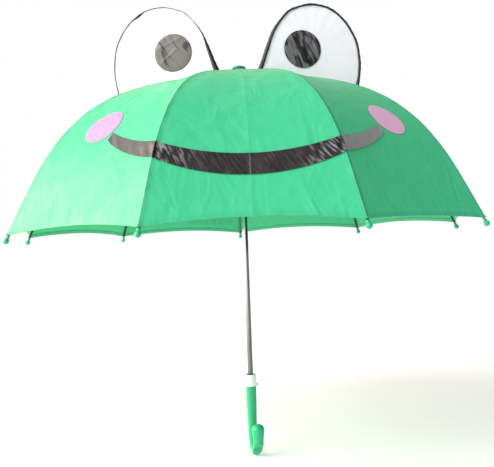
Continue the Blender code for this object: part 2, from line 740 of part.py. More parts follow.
def add_folding_frame():
    """Ribs, tips, gores and stretchers, each under an empty on its own hinge."""
    hinge_place, pivot_place = (HINGE_RADIUS, 0, CROWN_Z), (PIVOT[0], 0, PIVOT[1])
    rib, tip, gore = rib_mesh(), tip_mesh(), gore_mesh(hinge_place)
    stretcher = stretcher_mesh()
    hinges = {}
    for number in range(1, RIB_COUNT + 1):
        azimuth = rib_azimuth(number)
        hinge = add_empty(f"rib_hinge_{number}", azimuth, hinge_place)
        add_object(f"rib_{number}", rib, "steel", hinge)
        add_object(f"rib_tip_{number}", tip, "green_plastic", hinge)
        add_object(f"canopy_panel_{number}", gore, "cloth", hinge)
        pivot = add_empty(f"stretcher_pivot_{number}", azimuth, pivot_place)
        add_object(f"stretcher_{number}", stretcher, "steel", pivot)
        hinges[number] = hinge
    return hinges


def add_face(hinges):
    """Mouth and cheeks on the three front gores, and the eyes on their ribs."""
    shift = (HINGE_RADIUS, 0, CROWN_Z)
    over = CLOTH + PATCH_GAP
    for side, gore in (("left", 8), ("front", 9), ("right", 1)):
        mesh = patch_mesh(f"mouth_{side}", mouth_places(side), over, CLOTH, shift)
        add_object(f"mouth_{side}", mesh, "black_cloth", hinges[gore])
    for side, gore in (("left", 8), ("right", 1)):
        mesh = patch_mesh(f"cheek_{side}", cheek_places(side), over, CLOTH, shift)
        add_object(f"cheek_{side}", mesh, "pink_cloth", hinges[gore])
    for side, number in EYE_RIBS.items():
        add_eye(side, hinges[number])
    strap = patch_mesh("tie_strap", strap_places(), over, 0.0008, shift)
    add_object("tie_strap", strap, "cloth", hinges[5])


def main():
    clear_scene()
    add_shaft()
    for name, ledge in catch_tops().items():
        add_catch(name, ledge)
    add_crown()
    add_cap()
    add_cup()
    add_handle()
    add_runner()
    add_face(add_folding_frame())


main()
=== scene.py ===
"""Looks for the children's frog umbrella: cloth, stitching, eyes, handle, materials, light and camera."""

import math

import bmesh
import bpy
import numpy as np
from mathutils import Matrix, Vector


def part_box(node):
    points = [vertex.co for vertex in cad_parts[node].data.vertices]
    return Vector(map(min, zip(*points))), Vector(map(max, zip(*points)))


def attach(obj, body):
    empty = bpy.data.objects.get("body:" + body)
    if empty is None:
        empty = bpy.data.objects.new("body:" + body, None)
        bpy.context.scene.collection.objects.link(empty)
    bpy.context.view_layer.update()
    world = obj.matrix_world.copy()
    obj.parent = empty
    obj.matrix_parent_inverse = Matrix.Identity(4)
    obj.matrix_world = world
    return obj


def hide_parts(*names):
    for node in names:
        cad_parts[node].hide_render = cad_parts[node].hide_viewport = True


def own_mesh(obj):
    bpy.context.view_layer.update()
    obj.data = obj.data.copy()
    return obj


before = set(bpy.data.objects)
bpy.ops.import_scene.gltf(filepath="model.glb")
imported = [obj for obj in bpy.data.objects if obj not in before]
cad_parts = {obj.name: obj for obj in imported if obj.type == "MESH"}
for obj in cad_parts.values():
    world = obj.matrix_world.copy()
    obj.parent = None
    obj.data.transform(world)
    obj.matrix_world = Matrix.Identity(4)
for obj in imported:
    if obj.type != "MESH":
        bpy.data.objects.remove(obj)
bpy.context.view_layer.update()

# ---- measures, in metres, read from the frame where a node gives them ----

RIBS = range(1, 10)
STEP = math.radians(40)  # from one rib to the next
FIRST_RIB = math.radians(20)  # to the right of the front
CAP_LOW, CAP_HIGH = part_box("top_cap")
CUP_LOW, CUP_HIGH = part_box("tip_cup")
HANDLE_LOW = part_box("handle")[0]
WIRE_LOW, WIRE_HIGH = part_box("crown_wire")
CROWN_Z = (WIRE_LOW.z + WIRE_HIGH.z) / 2
TIP_RADIUS, HINGE_RADIUS = 0.365, 0.008
RIM_Z = 0.285

# the rib's slope, and the shares of its length between which it bends
SLOPE_AT_CROWN, SLOPE_AT_TIP = math.radians(13.6), math.radians(63.3)
BEND_FROM, BEND_TO = 0.218, 0.89
RIB_PIVOT = 0.45  # share of the rib where its stretcher is hinged

# the cloth over the ribs
CLOTH_LIFT = 0.0022
CROWN_LIFT, CROWN_LIFT_REACH = 0.0020, 0.015  # how much higher the cloth lies at the crown
PANEL_FROM, PANEL_TO = 0.003, 0.985
PANEL_SAG, RIM_SCALLOP = 0.02, 0.023
TAUT_HEMS = {1: 0.013}  # gores whose hem is pulled straighter than the others
HEM_WIDTH, HEM_INSIDE, HEM_OUTSIDE = 0.0055, -0.0007, -0.00012
SEAM_LIFT = 0.0007
SPLITS = {1: 0.468, 8: 0.532}  # where a gore is shared between its two ribs, when it isn't the middle

# mouth, cheeks and strap: places are (across the gore, share of the rib)
MOUTH_END = 0.46  # how far across its gore a side piece of the mouth reaches
MOUTH_ROWS, MOUTH_COLUMNS = 11, 60
CHEEK_PLACES = {"right": (0.615, 0.645), "left": (0.400, 0.639)}
CHEEK_RADIUS = 0.029
STRAP_GORE, STRAP_LENGTH, STRAP_TURNED_IN = 5, 0.105, 1.05
PATCH_UV = (0.2, 0.467)  # metres across a gore and along a rib, for the weave

# the eyes: (radius, height over the rim) round the edge, from the inner foot
EYE_EDGE = (
    (0.031, 0.258), (0.045, 0.294), (0.058, 0.325), (0.080, 0.353), (0.100, 0.363), (0.122, 0.3675),
    (0.146, 0.364), (0.166, 0.3535), (0.184, 0.334), (0.197, 0.309), (0.202, 0.280), (0.2010, 0.255),
    (0.1975, 0.235),
)
EYE_CENTRE = (0.118, RIM_Z + 0.285)
EYE_HALF = 0.010  # half the depth of an eye
PUPIL_CENTRE, PUPIL_RADIUS = (0.1035, RIM_Z + 0.2925), 0.0305
EYE_RIBS = {"right": 3, "left": 7}

# tips, handle, cup and cap
BALL_CENTRE, BALL_RADIUS = 0.0008, 0.0039
TUBE_HOLE = 0.0043
GRIP_TOP = 0.0444
HOOK_Z, HOOK_RADIUS, HOOK_WIRE = -0.032, 0.020, 0.0066
HOOK_TURN = math.radians(10 - 90)
CUP_RADIUS, CUP_DEPTH = 0.0090, 0.0120

FLOOR_Z, FLOOR_REACH = HANDLE_LOW.z - 0.0005, 30


# ---- the curve of the ribs and the surface of the cloth ----

def slope(share):
    t = np.clip((np.asarray(share) - BEND_FROM) / (BEND_TO - BEND_FROM), 0, 1)
    return SLOPE_AT_CROWN + (SLOPE_AT_TIP - SLOPE_AT_CROWN) * t * t * (3 - 2 * t)


def summed(values):
    return np.concatenate([[0], np.cumsum((values[1:] + values[:-1]) / 2 / (len(values) - 1))])


SHARES = np.linspace(0, 1, 801)
OUT, DOWN = summed(np.cos(slope(SHARES))), summed(np.sin(slope(SHARES)))
RIB_LENGTH = (TIP_RADIUS - HINGE_RADIUS) / OUT[-1]


def rib_point(share, lift=0.0):
    """(radius, height) over the rib's middle line."""
    angle = slope(share)
    radius = HINGE_RADIUS + RIB_LENGTH * np.interp(share, SHARES, OUT) + lift * np.sin(angle)
    return radius, CROWN_Z - RIB_LENGTH * np.interp(share, SHARES, DOWN) + lift * np.cos(angle)


def azimuth(number):
    return FIRST_RIB + (number - 1) * STEP


def outward(angle):
    return np.array([math.sin(angle), -math.cos(angle), 0.0])


def tangent(angle):
    return np.array([math.cos(angle), math.sin(angle), 0.0])


def normal_to_rib(a, angle):
    """Straight out of the cloth at a rib that slopes down by an angle."""
    return outward(a) * math.sin(angle) + np.array([0, 0, math.cos(angle)])


def crown_lift(reach):
    return CROWN_LIFT * math.exp(-reach / CROWN_LIFT_REACH)


def hem_share(gore, across):
    return PANEL_TO - TAUT_HEMS.get(gore, RIM_SCALLOP) * (1 - (2 * across - 1) ** 2)


def cloth_point(gore, across, share, lift=0.0):
    """A point of a gore, across it from its first rib (0) to its second (1) and along the ribs."""
    a = azimuth(gore)
    angle = float(slope(share))
    near_seam = min(across, 1 - across)
    radius, height = rib_point(share, CLOTH_LIFT + lift)
    height = height + crown_lift(radius - HINGE_RADIUS)
    near = radius * outward(a) + np.array([0, 0, height])
    far = radius * outward(a + STEP) + np.array([0, 0, height])
    out = normal_to_rib(a + STEP / 2, angle)
    chord = 2 * radius * math.sin(STEP / 2)
    sag = PANEL_SAG * chord * 4 * across * (1 - across)
    ridge = 0.0005 * math.exp(-((near_seam * chord / 0.0022) ** 2))
    # the front gore has a pressed line down its middle, and every gore has small soft pleats beside its seams
    crease = (0.0003 if gore == 9 else 0.0) * math.exp(-(((across - 0.5) * chord / 0.0022) ** 2))
    pull = math.exp(-((near_seam * chord - 0.012) / 0.014) ** 2) * min(1.0, chord / 0.15)
    pleat = 0.00045 * pull * math.sin(share * 95 + 3.1 * gore) * math.sin(share * 41 + gore)
    return near * (1 - across) + far * across - out * (sag - ridge - pleat - crease)


# ---- mesh helpers ----

def add_object(name, mesh, *materials, smooth=True):
    for m in materials:
        mesh.materials.append(m)
    if smooth:
        mesh.shade_smooth()
    obj = bpy.data.objects.new(name, mesh)
    bpy.context.scene.collection.objects.link(obj)
    return obj


def grid_mesh(name, points, uvs=None, closed=False):
    """A sheet through a grid of points, with one UV place for each point."""
    rows, columns = len(points), len(points[0])
    verts = [tuple(map(float, p)) for row in points for p in row]
    faces = []
    for i in range(rows - 1):
        for j in range(columns if closed else columns - 1):
            k = (j + 1) % columns
            faces.append((i * columns + j, i * columns + k, (i + 1) * columns + k, (i + 1) * columns + j))
    mesh = bpy.data.meshes.new(name)
    mesh.from_pydata(verts, [], faces)
    if uvs:
        flat = [uv for row in uvs for uv in row]
        layer = mesh.uv_layers.new(name="UVMap")
        for loop in mesh.loops:
            layer.data[loop.index].uv = flat[loop.vertex_index]
    mesh.validate()
    return mesh


def recalculated(mesh):
    bm = bmesh.new()
    bm.from_mesh(mesh)
    bmesh.ops.remove_doubles(bm, verts=bm.verts, dist=1e-6)
    bmesh.ops.recalc_face_normals(bm, faces=bm.faces)
    bm.to_mesh(mesh)
    bm.free()
    return mesh


def lathe(name, profile, steps=48):
    """A turned surface from (radius, height) points down the outer side."""
    points = []
    for radius, height in profile:
        turn = [2 * math.pi * j / steps for j in range(steps)]
        points.append([(radius * math.cos(t), radius * math.sin(t), height) for t in turn])
    return recalculated(grid_mesh(name, points, closed=True))


def rounded(points, radius=0.0006, steps=4):
    """The outline with each corner replaced by a small arc."""
    out = [points[0]]
    for a, b, c in zip(points, points[1:], points[2:]):
        a, b, c = Vector(a), Vector(b), Vector(c)
        cut = min(radius, (a - b).length * 0.45, (c - b).length * 0.45)
        first, last = b + (a - b).normalized() * cut, b + (c - b).normalized() * cut
        for i in range(steps + 1):
            t = i / steps
            out.append(tuple(first * (1 - t) ** 2 + b * 2 * t * (1 - t) + last * t * t))
    out.append(points[-1])
    return out


def tube_rings(path, sides, radius):
    """Rings of points along a path of vectors: a thread or wire."""
    rings = []
    previous = Vector((0, 0, 1))
    for i, point in enumerate(path):
        ahead = (Vector(path[min(i + 1, len(path) - 1)]) - Vector(path[max(i - 1, 0)])).normalized()
        side = ahead.cross(previous)
        side = side.normalized() if side.length > 1e-6 else ahead.orthogonal().normalized()
        up = side.cross(ahead).normalized()
        previous = up
        ring = []
        for j in range(sides):
            t = 2 * math.pi * j / sides
            ring.append(Vector(point) + side * radius * math.cos(t) + up * radius * math.sin(t))
        rings.append(ring)
    return rings


def joined(name, parts):
    """One mesh from several."""
    bm = bmesh.new()
    for part in parts:
        bm.from_mesh(part)
    mesh = bpy.data.meshes.new(name)
    bm.to_mesh(mesh)
    bm.free()
    for part in parts:
        bpy.data.meshes.remove(part)
    return mesh


# ---- materials ----

class Look:
    """A Principled material with short calls for its nodes."""

    def __init__(self, name, colour, roughness, metallic=0.0, **sockets):
        self.material = bpy.data.materials.new(name)
        self.material.use_nodes = True
        self.tree = self.material.node_tree
        self.shader = self.tree.nodes["Principled BSDF"]
        self.output = self.tree.nodes["Material Output"]
        self.set("Base Color", (*colour, 1))
        self.set("Roughness", roughness)
        self.set("Metallic", metallic)
        for socket, value in sockets.items():
            self.set(socket.replace("_", " "), value)
        self.height = None

    def set(self, socket, value):
        self.shader.inputs[socket].default_value = value

    def node(self, kind, **settings):
        node = self.tree.nodes.new(kind)
        for key, value in settings.items():
            setattr(node, key, value)
        return node

    def link(self, a, b):
        self.tree.links.new(a, b)

    def coordinates(self, kind="Object", scale=(1, 1, 1), turn=0.0):
        where = self.node("ShaderNodeTexCoord")
        mapping = self.node("ShaderNodeMapping", vector_type="TEXTURE")
        mapping.inputs["Scale"].default_value = tuple(1 / s for s in scale)
        mapping.inputs["Rotation"].default_value = (0, 0, turn)
        self.link(where.outputs[kind], mapping.inputs["Vector"])
        return mapping.outputs["Vector"]

    def noise(self, scale, detail=3.0, kind="Object", stretch=(1, 1, 1), turn=0.0, distortion=0.0):
        node = self.node("ShaderNodeTexNoise")
        node.inputs["Scale"].default_value = scale
        node.inputs["Detail"].default_value = detail
        node.inputs["Distortion"].default_value = distortion
        self.link(self.coordinates(kind, stretch, turn), node.inputs["Vector"])
        return node.outputs["Fac"]

    def wave(self, scale, kind="UV", turn=0.0, distortion=0.0):
        node = self.node("ShaderNodeTexWave")
        node.inputs["Scale"].default_value = scale
        node.inputs["Distortion"].default_value = distortion
        self.link(self.coordinates(kind, turn=turn), node.inputs["Vector"])
        return node.outputs["Fac"]

    def math(self, operation, a, b=None):
        node = self.node("ShaderNodeMath", operation=operation)
        for socket, value in zip(node.inputs, (a, b)):
            if value is None:
                continue
            if isinstance(value, (int, float)):
                socket.default_value = value
            else:
                self.link(value, socket)
        return node.outputs[0]

    def ranged(self, value, low, high, to_low=0.0, to_high=1.0):
        node = self.node("ShaderNodeMapRange", interpolation_type="SMOOTHSTEP")
        for socket, number in zip(("From Min", "From Max", "To Min", "To Max"), (low, high, to_low, to_high)):
            node.inputs[socket].default_value = number
        self.link(value, node.inputs["Value"])
        return node.outputs[0]

    def uv(self):
        split = self.node("ShaderNodeSeparateXYZ")
        self.link(self.node("ShaderNodeTexCoord").outputs["UV"], split.inputs[0])
        return split.outputs[0], split.outputs[1]

    def place(self, axis):
        """One coordinate of the frame, in metres."""
        split = self.node("ShaderNodeSeparateXYZ")
        self.link(self.node("ShaderNodeTexCoord").outputs["Object"], split.inputs[0])
        return split.outputs[axis]

    def tint(self, factor, colour):
        """Mixes another colour over the present one where factor is 1."""
        mix = self.node("ShaderNodeMix", data_type="RGBA")
        base = self.shader.inputs["Base Color"]
        if base.is_linked:
            self.link(base.links[0].from_socket, mix.inputs["A"])
        else:
            mix.inputs["A"].default_value = base.default_value
        mix.inputs["B"].default_value = (*colour, 1)
        self.link(factor, mix.inputs["Factor"])
        self.link(mix.outputs["Result"], base)
        return self

    def rough(self, factor, low, high):
        self.link(self.ranged(factor, 0.3, 0.7, low, high), self.shader.inputs["Roughness"])
        return self

    def bump(self, height, distance, strength=1.0):
        """Adds a layer of relief, that many metres deep."""
        node = self.node("ShaderNodeBump")
        node.inputs["Strength"].default_value = strength
        node.inputs["Distance"].default_value = distance
        self.link(height, node.inputs["Height"])
        if self.height:
            self.link(self.height, node.inputs["Normal"])
        self.height = node.outputs["Normal"]
        self.link(self.height, self.shader.inputs["Normal"])
        return self

    def see_through(self, colour, share):
        """Lets some light through thin cloth."""
        thin = self.node("ShaderNodeBsdfTranslucent")
        thin.inputs["Color"].default_value = (*colour, 1)
        mix = self.node("ShaderNodeMixShader")
        mix.inputs[0].default_value = share
        self.link(self.shader.outputs[0], mix.inputs[1])
        self.link(thin.outputs[0], mix.inputs[2])
        self.link(mix.outputs[0], self.output.inputs["Surface"])
        return self


def weave(look, strength=1.0):
    """Plain weave at thread scale, from UVs in metres."""
    warp, weft = look.wave(420, turn=0.0), look.wave(420, turn=math.pi / 2)
    look.bump(look.math("MAXIMUM", warp, weft), 0.00004, strength)
    return look


def dashes(look, place, along, centre, half_width, pitch=0.0028):
    """1 on the thread of a line of stitches, 0 elsewhere."""
    off = look.math("ABSOLUTE", look.math("SUBTRACT", place, centre))
    line = look.ranged(off, half_width * 0.6, half_width, 1.0, 0.0)
    gap = look.math("SINE", look.math("MULTIPLY", along, 2 * math.pi / pitch))
    return look.math("MULTIPLY", line, look.ranged(gap, -0.75, -0.45))


def canopy_look():
    look = Look("canopy_taffeta", (0.042, 0.53, 0.265), 0.46, Sheen_Weight=0.12, Sheen_Roughness=0.4,
                Specular_IOR_Level=0.5)
    look.set("Sheen Tint", (1.0, 0.97, 0.72, 1))
    across, along = look.uv()
    off = look.math("ABSOLUTE", across)
    look.tint(look.math("MULTIPLY", look.noise(7, 4), 0.35), (0.032, 0.47, 0.235))
    look.tint(look.ranged(look.noise(60, 2), 0.45, 0.75, 0.0, 0.12), (0.085, 0.60, 0.32))
    look.tint(look.ranged(off, 0.0003, 0.0011, 0.85, 0.0), (0.006, 0.15, 0.08))
    look.tint(look.math("MULTIPLY", look.ranged(off, 0.0030, 0.0048, 1.0, 0.0), 0.10), (0.02, 0.36, 0.17))
    look.tint(look.math("MULTIPLY", dashes(look, off, along, 0.0034, 0.0004), 0.6), (0.02, 0.34, 0.16))
    look.rough(look.noise(25, 3), 0.40, 0.54)
    look.bump(look.noise(5, 2, stretch=(1.0, 1.0, 0.45), distortion=0.6), 0.0040, 0.4)
    look.bump(look.noise(24, 2, stretch=(1.0, 1.0, 0.35), distortion=1.2), 0.0034, 0.8)
    look.bump(look.noise(62, 2, stretch=(0.4, 1.0, 1.0), distortion=0.8), 0.0010, 0.5)
    weave(look, 0.35)
    look.see_through((0.03, 0.46, 0.13), 0.12)
    return look.material


def hem_look():
    look = Look("hem_taffeta", (0.048, 0.49, 0.25), 0.5, Sheen_Weight=0.3, Sheen_Roughness=0.4)
    across, along = look.uv()
    look.tint(look.math("MULTIPLY", look.noise(40, 3), 0.35), (0.036, 0.43, 0.22))
    look.tint(dashes(look, along, across, 0.0052, 0.0005), (0.02, 0.30, 0.14))
    look.bump(look.wave(36, turn=0.0, distortion=1.5), 0.0002, 0.4)
    weave(look, 0.4)
    look.see_through((0.04, 0.50, 0.20), 0.08)
    return look.material


def patch_look(name, colour, dark, sheen=0.3, gathers=0.5, roughness=0.42):
    """Satin or taffeta of one colour, with small gathers."""
    look = Look(name, colour, roughness, Sheen_Weight=sheen, Sheen_Roughness=0.35)
    look.tint(look.math("MULTIPLY", look.noise(70, 4), 0.5), dark)
    look.rough(look.noise(120, 3), roughness - 0.07, roughness + 0.08)
    look.bump(look.noise(150, 3, "UV", stretch=(1.0, 0.22, 1), distortion=0.6), 0.0009, gathers)
    weave(look, 0.3)
    return look.material


def gathered_look(name, colour, light):
    """Black satin with painted highlights on its gathers towards both ends of its run, lighter patches of
    painted sheen, and a painted highlight along one fold line in the middle.
    """
    look = Look(name, colour, 0.32, Sheen_Weight=0.06, Sheen_Roughness=0.35)
    across, _ = look.uv()
    off = look.math("ABSOLUTE", look.math("SUBTRACT", across, 0.1))
    gathers = look.noise(300, 2, "UV", stretch=(1.0, 0.14, 1), turn=-0.45, distortion=0.35)
    ends = look.ranged(off, 0.040, 0.096)
    # painted highlight: the light colour is laid over the gather folds near both ends
    look.tint(look.math("MULTIPLY", look.ranged(gathers, 0.50, 0.62), ends), light)
    # painted sheen: soft lighter patches over the black
    look.tint(look.ranged(look.noise(45, 4), 0.45, 0.7, 0.0, 0.5), (0.040, 0.032, 0.037))
    # painted highlight down the middle fold line
    look.tint(look.ranged(off, 0.0002, 0.0008, 0.6, 0.0), (0.16, 0.155, 0.16))
    look.tint(look.ranged(off, 0.0970, 0.0984), (0.004, 0.003, 0.004))
    look.rough(look.noise(120, 3), 0.26, 0.40)
    look.bump(gathers, 0.0015, 0.6)
    weave(look, 0.3)
    return look.material


def creased_look(name, colour, dark, low, high, turn):
    """Crumpled satin: darker where the creases turn away from the light."""
    look = Look(name, colour, 0.4, Sheen_Weight=0.2, Sheen_Roughness=0.35)
    streaks = look.noise(95, 2, "UV", stretch=(1.0, 0.22, 1), turn=turn, distortion=1.1)
    look.tint(look.ranged(streaks, low, high), dark)
    look.tint(look.ranged(look.noise(60, 3), 0.55, 0.75, 0.0, 0.35), tuple(1.5 * c for c in colour))
    look.rough(look.noise(120, 3), 0.33, 0.5)
    look.bump(streaks, 0.0012, 0.7)
    weave(look, 0.3)
    return look.material


def eye_white_look():
    look = Look("eye_white_cloth", (0.96, 0.94, 1.0), 0.62, Sheen_Weight=0.3, Sheen_Roughness=0.5)
    look.tint(look.math("MULTIPLY", look.noise(18, 4), 0.25), (0.90, 0.885, 0.965))
    look.rough(look.noise(60, 3), 0.55, 0.7)
    look.bump(look.noise(14, 3, distortion=0.8), 0.0012, 0.3)
    look.bump(look.wave(180, "Object", 0.0), 0.00004, 0.3)
    look.see_through((0.93, 0.92, 0.99), 0.06)
    return look.material


def plastic_look(name, colour, dark, roughness=0.42, coat=0.12):
    look = Look(name, colour, roughness, Coat_Weight=coat, Coat_Roughness=0.30)
    look.tint(look.math("MULTIPLY", look.noise(35, 4), 0.35), dark)
    look.rough(look.noise(90, 3), roughness - 0.04, roughness + 0.08)
    look.bump(look.noise(260, 3), 0.00003, 0.2)
    look.bump(look.noise(45, 2), 0.0003, 0.2)
    return look.material


def steel_look(name, colour, roughness, streak=(1, 1, 0.03), low=None, shade=None):
    """Drawn steel. It may be darker towards its low end, and carry a painted dark reflection down its right
    side.
    """
    look = Look(name, colour, roughness, 1.0)
    if low:
        look.tint(look.ranged(look.place("Z"), 0.09, 0.26, 1.0, 0.0), low)
    if shade:
        # painted reflection: the right side darkened as if mirroring a dim room
        look.tint(look.ranged(look.place("X"), -0.0008, 0.0010), shade)
    look.tint(look.math("MULTIPLY", look.noise(25, 5), 0.35), tuple(c * 0.72 for c in colour))
    look.rough(look.noise(500, 3, stretch=streak), roughness * 0.6, roughness * 1.5)
    look.bump(look.noise(900, 2, stretch=streak), 0.00002, 0.35)
    return look.material


def seam_look():
    look = Look("seam_taffeta", (0.030, 0.46, 0.21), 0.5, Sheen_Weight=0.3, Sheen_Roughness=0.4)
    across, along = look.uv()
    look.tint(look.math("MULTIPLY", look.noise(60, 3), 0.4), (0.02, 0.34, 0.15))
    look.tint(dashes(look, look.math("ABSOLUTE", across), along, 0.0012, 0.0003), (0.012, 0.24, 0.11))
    look.bump(look.noise(500, 2), 0.0002, 0.4)
    return look.material


CANOPY = canopy_look()
HEM = hem_look()
SEAM = seam_look()
MOUTH = {
    # the front piece's light colour is the painted highlight on its gathers
    "front": gathered_look("mouth_satin_front", (0.008, 0.006, 0.008), (0.24, 0.23, 0.235)),
    # the side pieces are the same black satin as the front, coloured grey as painted sheen from glancing
    # light, the right one more
    "left": patch_look("mouth_satin_left_painted_sheen", (0.055, 0.051, 0.057), (0.027, 0.023, 0.026), 0.15, 0.7, 0.42),
    "right": patch_look("mouth_satin_right_painted_sheen", (0.250, 0.275, 0.265), (0.12, 0.12, 0.12), 0.3, 0.8, 0.42),
}
CHEEK = {
    # one pink cloth in two copies: the left is painted darker against its strong light, the right painted
    # lighter against its shade
    "left": patch_look("cheek_pink_left_painted_darker", (0.58, 0.26, 0.47), (0.52, 0.22, 0.42), 0.1, 0.3, 0.5),
    "right": patch_look("cheek_pink_right_painted_lighter", (0.76, 0.43, 0.63), (0.70, 0.37, 0.57), 0.15, 0.3, 0.5),
}
EYE_WHITE = eye_white_look()
EYE_BLACK = patch_look("eye_black_satin", (0.004, 0.004, 0.005), (0.010, 0.009, 0.011), 0.03, 0.7, 0.5)
# the pupils are black satin, coloured grey as painted sheen, with painted shade in their creases; the left
# and right copies differ by how the light falls
PUPIL = {
    "left": creased_look("pupil_satin_left_painted_sheen", (0.160, 0.142, 0.142), (0.035, 0.028, 0.03), 0.55, 0.67, -0.5),
    "right": creased_look("pupil_satin_right_painted_sheen", (0.150, 0.140, 0.150), (0.006, 0.005, 0.006), 0.44, 0.56, 0.4),
}
GREEN_PLASTIC = plastic_look("green_plastic", (0.008, 0.44, 0.195), (0.007, 0.34, 0.14))
DARK_GREEN_PLASTIC = plastic_look("dark_green_plastic", (0.012, 0.26, 0.11), (0.010, 0.20, 0.08))
WHITE_PLASTIC = plastic_look("white_plastic", (0.80, 0.90, 0.89), (0.72, 0.84, 0.83), 0.3, 0.3)
BLACK_PLASTIC = plastic_look("black_plastic", (0.02, 0.02, 0.022), (0.035, 0.035, 0.035), 0.42, 0.1)
# the shade colour is a painted dark reflection down the shaft's right side
SHAFT_STEEL = steel_look("shaft_chrome", (0.92, 0.92, 0.93), 0.10, low=(0.10, 0.10, 0.104),
                         shade=(0.022, 0.022, 0.023))
FRAME_STEEL = steel_look("frame_steel", (0.13, 0.14, 0.135), 0.3)
THREAD = patch_look("green_thread", (0.03, 0.42, 0.19), (0.02, 0.32, 0.14), 0.2, 0.2, 0.6)


# ---- the canopy ----

def split_at(gore):
    return SPLITS.get(gore, 0.5)


def strip_places(rib, columns=19):
    """(gore, across, share of the chord from the seam) over the cloth that one rib carries."""
    before, after = (rib - 2) % len(RIBS) + 1, rib
    first, last = split_at(before), split_at(after)
    places = []
    for j in range(columns):
        t = (1 + math.cos(math.pi * j / (columns - 1))) / 2
        places.append((before, 1 - (1 - first) * t, -(1 - first) * t))
    for j in range(1, columns):
        t = (1 - math.cos(math.pi * j / (columns - 1))) / 2
        places.append((after, last * t, last * t))
    return places


def fold(obj, rib):
    """The cloth moves with its rib, on a mesh of its own."""
    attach(obj, f"rib_arm_{rib}")
    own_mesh(obj)


def add_canopy_strip(rib, rows=64):
    """The cloth over one rib, out to the middle of the gores beside it."""
    points, uvs = [], []
    for i in range(rows):
        row, uv_row = [], []
        for gore, across, off in strip_places(rib):
            share = PANEL_FROM + (hem_share(gore, across) - PANEL_FROM) * i / (rows - 1)
            row.append(cloth_point(gore, across, share))
            chord = 2 * rib_point(share)[0] * math.sin(STEP / 2)
            uv_row.append((off * float(chord), share * RIB_LENGTH))
        points.append(row)
        uvs.append(uv_row)
    mesh = grid_mesh(f"canopy_cloth_{rib}", points, uvs)
    obj = add_object(f"canopy_cloth_{rib}", mesh, CANOPY)
    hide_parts(f"canopy_panel_{rib}")
    fold(obj, rib)


def add_hem(rib):
    """The turned and stitched edge, as a flat loop of cloth round the canopy's rim."""
    section = [(HEM_WIDTH * t, HEM_INSIDE) for t in np.linspace(0, 1, 7)]
    section += [(HEM_WIDTH * t, HEM_OUTSIDE) for t in np.linspace(1, 0, 7)]
    section.append((-0.0003, HEM_INSIDE))
    points, uvs = [], []
    for gore, across, off in strip_places(rib, 20):
        row, uv_row = [], []
        edge = hem_share(gore, across)
        run = off * 2 * TIP_RADIUS * math.sin(STEP / 2)
        for back, lift in section:
            row.append(cloth_point(gore, across, edge - back / RIB_LENGTH, lift))
            uv_row.append((back, run))
        points.append(row)
        uvs.append(uv_row)
    mesh = recalculated(grid_mesh(f"hem_{rib}", points, uvs, closed=True))
    obj = add_object(f"hem_{rib}", mesh, HEM)
    fold(obj, rib)


def add_seam_ridge(rib):
    """The felled seam over the rib: a narrow double fold of cloth with a row of stitches."""
    a = azimuth(rib)
    half = [(0.0008, 0.0006), (0.0021, 0.00035), (0.0023, 0.0)]
    section = [*[(-x, z) for x, z in half[::-1]], *half]
    points, uvs = [], []
    for share in np.linspace(0.012, PANEL_TO - 0.004, 90):
        radius, height = rib_point(share, CLOTH_LIFT + SEAM_LIFT)
        height += crown_lift(radius - HINGE_RADIUS)
        up = normal_to_rib(a, float(slope(share)))
        centre = outward(a) * radius + np.array([0, 0, height])
        points.append([centre + tangent(a) * x - up * (z + 0.0010 + abs(x) * 0.2) for x, z in section])
        uvs.append([(x, float(share) * RIB_LENGTH) for x, z in section])
    mesh = grid_mesh(f"seam_{rib}", points, uvs)
    obj = add_object(f"seam_{rib}", mesh, SEAM)
    fold(obj, rib)


def add_rosette():
    """A small gathered ring of cloth where the gores meet under the cap."""
    points = []
    for i in range(7):
        t = i / 6
        ring = []
        for j in range(90):
            a = 2 * math.pi * j / 90
            radius = 0.0050 + 0.0085 * t
            wave = 0.00035 * t * math.sin(18 * a)
            height = CROWN_Z + 0.0042 - 0.0012 * t - 0.0010 * t * t + wave
            ring.append((radius * math.cos(a), radius * math.sin(a), height))
        points.append(ring)
    obj = add_object("crown_rosette", grid_mesh("crown_rosette", points, closed=True), HEM)
    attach(obj, "shaft")


# ---- mouth, cheeks and strap ----

def patch_uvs(places):
    return [[(across * PATCH_UV[0], share * PATCH_UV[1]) for across, share in row] for row in places]


def patch(name, gore, places, lift, material, rib):
    """Cloth sewn on a gore, over places that are given by row."""
    points = [[cloth_point(gore, across, share, lift(i, j)) for j, (across, share) in enumerate(row)]
              for i, row in enumerate(places)]
    obj = add_object(name, grid_mesh(name, points, patch_uvs(places)), material)
    fold(obj, rib)
    return obj


def mouth_edges(side, t):
    """Shares of the mouth's upper and lower edge, along a piece's run."""
    if side == "front":
        rise = (2 * t - 1) ** 2
        return 0.786 - 0.039 * rise, 0.8485 - 0.052 * rise
    return 0.746 - 0.030 * t - 0.041 * t**2, 0.794 - 0.030 * t - 0.056 * t**2


def mouth_places(side, low, high):
    """Places between two shares of one piece's run, from the front seam outwards on a side gore."""
    places = []
    for i in range(MOUTH_ROWS):
        row = []
        for j in range(MOUTH_COLUMNS):
            t = low + (high - low) * j / (MOUTH_COLUMNS - 1)
            top, foot = mouth_edges(side, t)
            across = t if side == "front" else MOUTH_END * t
            across = 1 - across if side == "left" else across
            row.append((across, top + (foot - top) * i / (MOUTH_ROWS - 1)))
        places.append(row)
    return places


